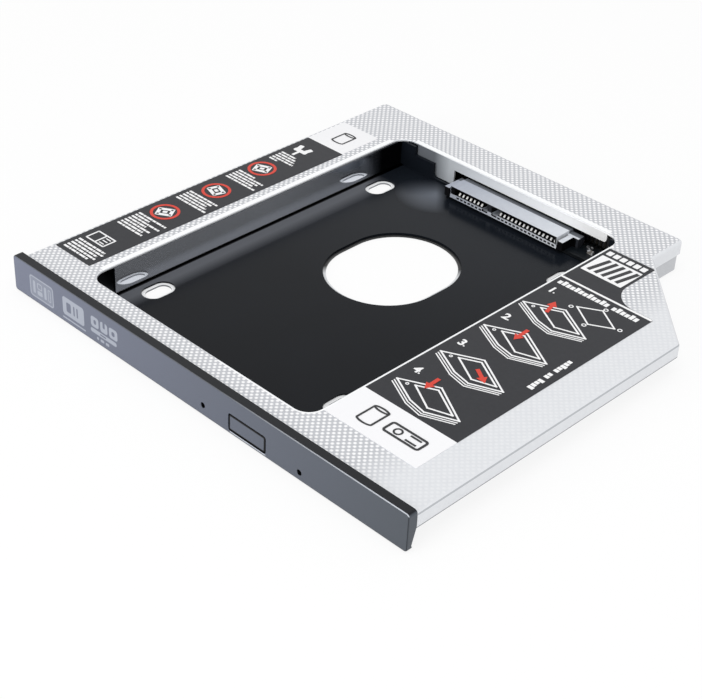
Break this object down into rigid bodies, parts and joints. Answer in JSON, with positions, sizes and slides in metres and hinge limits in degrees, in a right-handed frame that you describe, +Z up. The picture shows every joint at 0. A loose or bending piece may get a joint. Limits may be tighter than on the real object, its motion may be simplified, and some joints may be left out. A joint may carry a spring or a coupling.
{
  "type": "laptop drive caddy",
  "caption": "Slim laptop bay caddy: folded metal shells, a black tray with a drive well and socket, a thin side wing, a laptop plug at the rear and a bezel with a sprung eject button",
  "frame": {"origin": "centre of the bounding box in plan, at its lowest point, which is the bezel's and the lower shell's underside", "axes": "+X runs along the bezel to the thin wing's side, +Y from the bezel to the rear edge, +Z up through the drive window"},
  "size_m": [0.128, 0.127, 0.0095],
  "materials": {
    "cover_sheet": "pale satin sheet with a fine pressed dot grid",
    "shell_sheet": "plain satin sheet",
    "tray_plastic": "glossy black moulding",
    "bezel_plastic": "satin black moulding that mirrors the sky light",
    "connector_plastic": "pale grey moulding with dark slots",
    "plug_plastic": "black moulding",
    "contact_gold": "bright plated contacts",
    "contact_tin": "bright tinned sheet",
    "board_laminate": "dark green solder mask",
    "chip_ceramic": "tan ceramic with tinned ends",
    "chip_black": "black body with tinned ends",
    "screw_steel": "nickel-plated steel",
    "label_film": "dark printed film"
  },
  "bodies": {
    "caddy": {"top_cover": "cover_sheet", "lower_shell": "shell_sheet", "inner_tray": "tray_plastic", "front_bezel": "bezel_plastic", "drive_socket_housing": "connector_plastic", "drive_signal_contacts": "contact_gold", "drive_power_contacts": "contact_gold", "adapter_board": "board_laminate", "board_capacitors": "chip_ceramic", "board_resistors": "chip_black", "board_screws": "screw_steel", "laptop_plug_housing": "plug_plastic", "laptop_signal_contacts": "contact_gold", "laptop_power_contacts": "contact_gold", "tray_screws": "screw_steel", "left_label": "label_film", "right_label": "label_film", "socket_locks": "contact_tin", "plug_locks": "contact_tin"},
    "button": {"eject_button": "bezel_plastic"}
  },
  "joints": [
    {"name": "button_press", "type": "slide", "parent": "caddy", "child": "button", "axis": [0, 1, 0], "range_m": [0, 0.0007], "stiffness_N_per_m": 1500}
  ]
}
